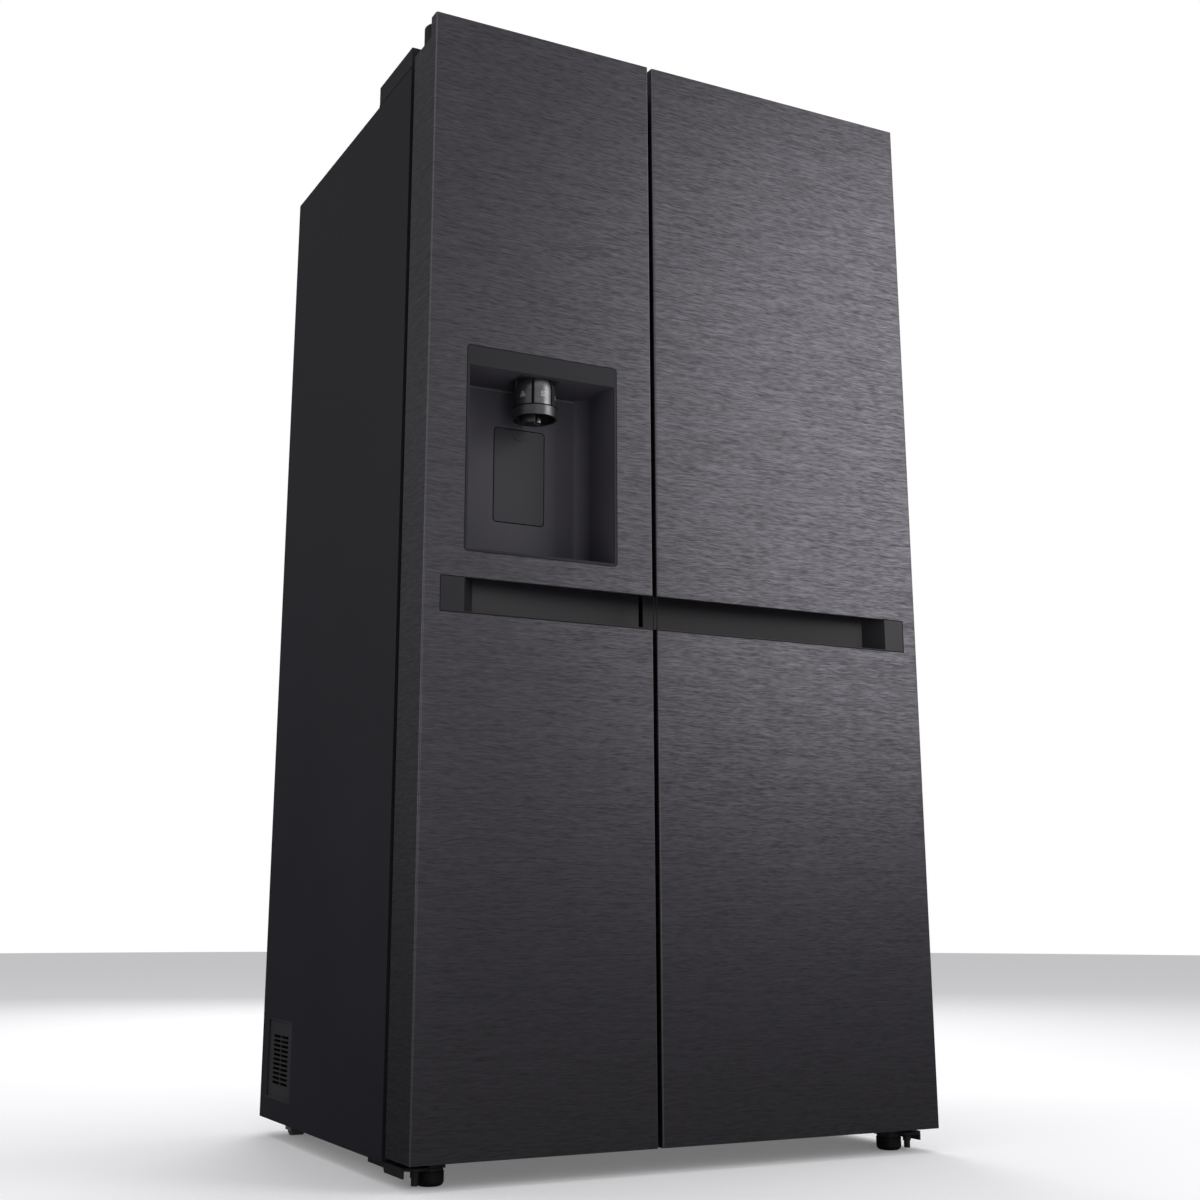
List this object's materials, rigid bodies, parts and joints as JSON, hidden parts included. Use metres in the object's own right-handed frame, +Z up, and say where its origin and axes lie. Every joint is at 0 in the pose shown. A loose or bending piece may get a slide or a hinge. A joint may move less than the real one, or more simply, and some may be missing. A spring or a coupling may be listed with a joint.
{
  "type": "side-by-side refrigerator",
  "caption": "Free-standing side-by-side refrigerator freezer with recessed handles and an ice and water dispenser in the narrow door.",
  "frame": {"origin": "on the floor, at the middle of the footprint", "axes": "+Z up; the doors face -Y; +X to the right when facing the doors, so the freezer is on the -X side"},
  "size_m": [0.913, 0.735, 1.79],
  "materials": {
    "cabinet_steel": "satin",
    "door_steel": "satin",
    "galvanised_steel": "satin",
    "hinge_steel": "satin",
    "insulation": "matte",
    "white_plastic": "satin",
    "dark_plastic": "matte",
    "handle_plastic": "satin",
    "black_plastic": "matte",
    "grey_plastic": "satin",
    "clear_plastic": "gloss",
    "shelf_glass": "gloss",
    "gasket_rubber": "matte",
    "roller_rubber": "matte",
    "compressor_iron": "satin",
    "coil_aluminium": "satin",
    "auger_steel": "satin",
    "spout_metal": "satin",
    "lamp_lens": "satin",
    "board_green": "matte"
  },
  "bodies": {
    "cabinet": {"cabinet_panels": "cabinet_steel", "back_panel": "galvanised_steel", "base_plate": "galvanised_steel", "cabinet_foam": "insulation", "cabinet_liners": "white_plastic", "front_frame": "cabinet_steel", "side_grilles": "dark_plastic", "hinges": "hinge_steel", "hinge_covers": "dark_plastic", "machine_cover": "galvanised_steel", "compressor": "compressor_iron", "drain_pan": "grey_plastic", "coils": "coil_aluminium", "fan_motors": "black_plastic", "evaporator_cover": "white_plastic", "air_duct": "white_plastic", "shelf_frames": "white_plastic", "shelf_glass": "shelf_glass", "ice_maker": "grey_plastic", "ice_bin": "clear_plastic", "lamps": "lamp_lens", "control_box": "board_green"},
    "freezer_door": {"freezer_door_skin": "door_steel", "freezer_door_foam": "insulation", "freezer_door_liner": "white_plastic", "freezer_door_gasket": "gasket_rubber", "freezer_door_caps": "dark_plastic", "freezer_handle": "handle_plastic", "freezer_door_bins": "clear_plastic", "dispenser_housing": "dark_plastic", "spout_body": "dark_plastic", "spout_ring": "spout_metal", "drip_tray": "black_plastic", "ice_chute": "grey_plastic"},
    "fridge_door": {"fridge_door_skin": "door_steel", "fridge_door_foam": "insulation", "fridge_door_liner": "white_plastic", "fridge_door_gasket": "gasket_rubber", "fridge_door_caps": "dark_plastic", "fridge_handle": "handle_plastic", "fridge_door_bins": "clear_plastic"},
    "condenser_fan": {"condenser_fan": "black_plastic"},
    "evaporator_fan": {"evaporator_fan": "grey_plastic"},
    "lower_freezer_drawer": {"lower_freezer_drawer": "clear_plastic"},
    "upper_freezer_drawer": {"upper_freezer_drawer": "clear_plastic"},
    "lower_crisper": {"lower_crisper": "clear_plastic"},
    "upper_crisper": {"upper_crisper": "clear_plastic"},
    "ice_tray": {"ice_tray": "white_plastic"},
    "ice_auger": {"ice_auger": "auger_steel"},
    "left_foot": {"left_foot": "black_plastic"},
    "right_foot": {"right_foot": "black_plastic"},
    "left_roller": {"left_roller": "roller_rubber"},
    "right_roller": {"right_roller": "roller_rubber"},
    "dispenser_paddle": {"dispenser_paddle": "handle_plastic"},
    "left_button": {"left_button": "spout_metal"},
    "middle_button": {"middle_button": "spout_metal"},
    "right_button": {"right_button": "spout_metal"},
    "ice_flap": {"ice_flap": "grey_plastic"},
    "dairy_lid": {"dairy_lid": "clear_plastic"}
  },
  "joints": [
    {"name": "freezer_door_hinge", "type": "hinge", "parent": "cabinet", "child": "freezer_door", "pos_m": [-0.4285, -0.3175, 0.895], "axis": [0, 0, -1], "range_deg": [0, 130]},
    {"name": "fridge_door_hinge", "type": "hinge", "parent": "cabinet", "child": "fridge_door", "pos_m": [0.4285, -0.3175, 0.895], "axis": [0, 0, 1], "range_deg": [0, 130]},
    {"name": "paddle_hinge", "type": "hinge", "parent": "freezer_door", "child": "dispenser_paddle", "pos_m": [-0.26075, -0.2743, 1.127], "axis": [1, 0, 0], "range_deg": [0, 6], "stiffness_Nm_per_rad": 2, "springref_deg": -2.86},
    {"name": "left_button_press", "type": "slide", "parent": "freezer_door", "child": "left_button", "axis": [0.866, 0.5, 0], "range_m": [0, 0.0015], "stiffness_N_per_m": 600, "springref_m": -0.0015},
    {"name": "middle_button_press", "type": "slide", "parent": "freezer_door", "child": "middle_button", "axis": [0, 1, 0], "range_m": [0, 0.0015], "stiffness_N_per_m": 600, "springref_m": -0.0015},
    {"name": "right_button_press", "type": "slide", "parent": "freezer_door", "child": "right_button", "axis": [-0.866, 0.5, 0], "range_m": [0, 0.0015], "stiffness_N_per_m": 600, "springref_m": -0.0015},
    {"name": "ice_flap_hinge", "type": "hinge", "parent": "freezer_door", "child": "ice_flap", "pos_m": [-0.26075, -0.3495, 1.209], "axis": [1, 0, 0], "range_deg": [0, 60]},
    {"name": "ice_tray_twist", "type": "hinge", "parent": "cabinet", "child": "ice_tray", "pos_m": [-0.24375, 0.0755, 1.539], "axis": [0, 1, 0], "range_deg": [0, 150]},
    {"name": "ice_auger_spin", "type": "hinge", "parent": "cabinet", "child": "ice_auger", "pos_m": [-0.26075, -0.0075, 1.335], "axis": [0, 1, 0], "continuous": true},
    {"name": "condenser_fan_spin", "type": "hinge", "parent": "cabinet", "child": "condenser_fan", "pos_m": [0.0165, 0.2385, 0.142], "axis": [1, 0, 0], "continuous": true},
    {"name": "evaporator_fan_spin", "type": "hinge", "parent": "cabinet", "child": "evaporator_fan", "pos_m": [-0.24375, 0.2385, 0.966], "axis": [0, 1, 0], "continuous": true},
    {"name": "lower_freezer_drawer_slide", "type": "slide", "parent": "cabinet", "child": "lower_freezer_drawer", "axis": [0, -1, 0], "range_m": [0, 0.05]},
    {"name": "upper_freezer_drawer_slide", "type": "slide", "parent": "cabinet", "child": "upper_freezer_drawer", "axis": [0, -1, 0], "range_m": [0, 0.05]},
    {"name": "lower_crisper_slide", "type": "slide", "parent": "cabinet", "child": "lower_crisper", "axis": [0, -1, 0], "range_m": [0, 0.05]},
    {"name": "upper_crisper_slide", "type": "slide", "parent": "cabinet", "child": "upper_crisper", "axis": [0, -1, 0], "range_m": [0, 0.05]},
    {"name": "left_foot_screw", "type": "slide", "parent": "cabinet", "child": "left_foot", "axis": [0, 0, 1], "range_m": [-0.015, 0]},
    {"name": "right_foot_screw", "type": "slide", "parent": "cabinet", "child": "right_foot", "axis": [0, 0, 1], "range_m": [-0.015, 0]},
    {"name": "left_roller_axle", "type": "hinge", "parent": "cabinet", "child": "left_roller", "pos_m": [-0.4065, 0.2925, 0.018], "axis": [1, 0, 0], "continuous": true},
    {"name": "right_roller_axle", "type": "hinge", "parent": "cabinet", "child": "right_roller", "pos_m": [0.4065, 0.2925, 0.018], "axis": [1, 0, 0], "continuous": true},
    {"name": "dairy_lid_hinge", "type": "hinge", "parent": "fridge_door", "child": "dairy_lid", "pos_m": [0.1815, -0.2635, 1.5505], "axis": [1, 0, 0], "range_deg": [0, 80]}
  ],
  "couplings": [
    {"joint": "ice_flap_hinge", "follows": "paddle_hinge", "ratio": 10}
  ]
}
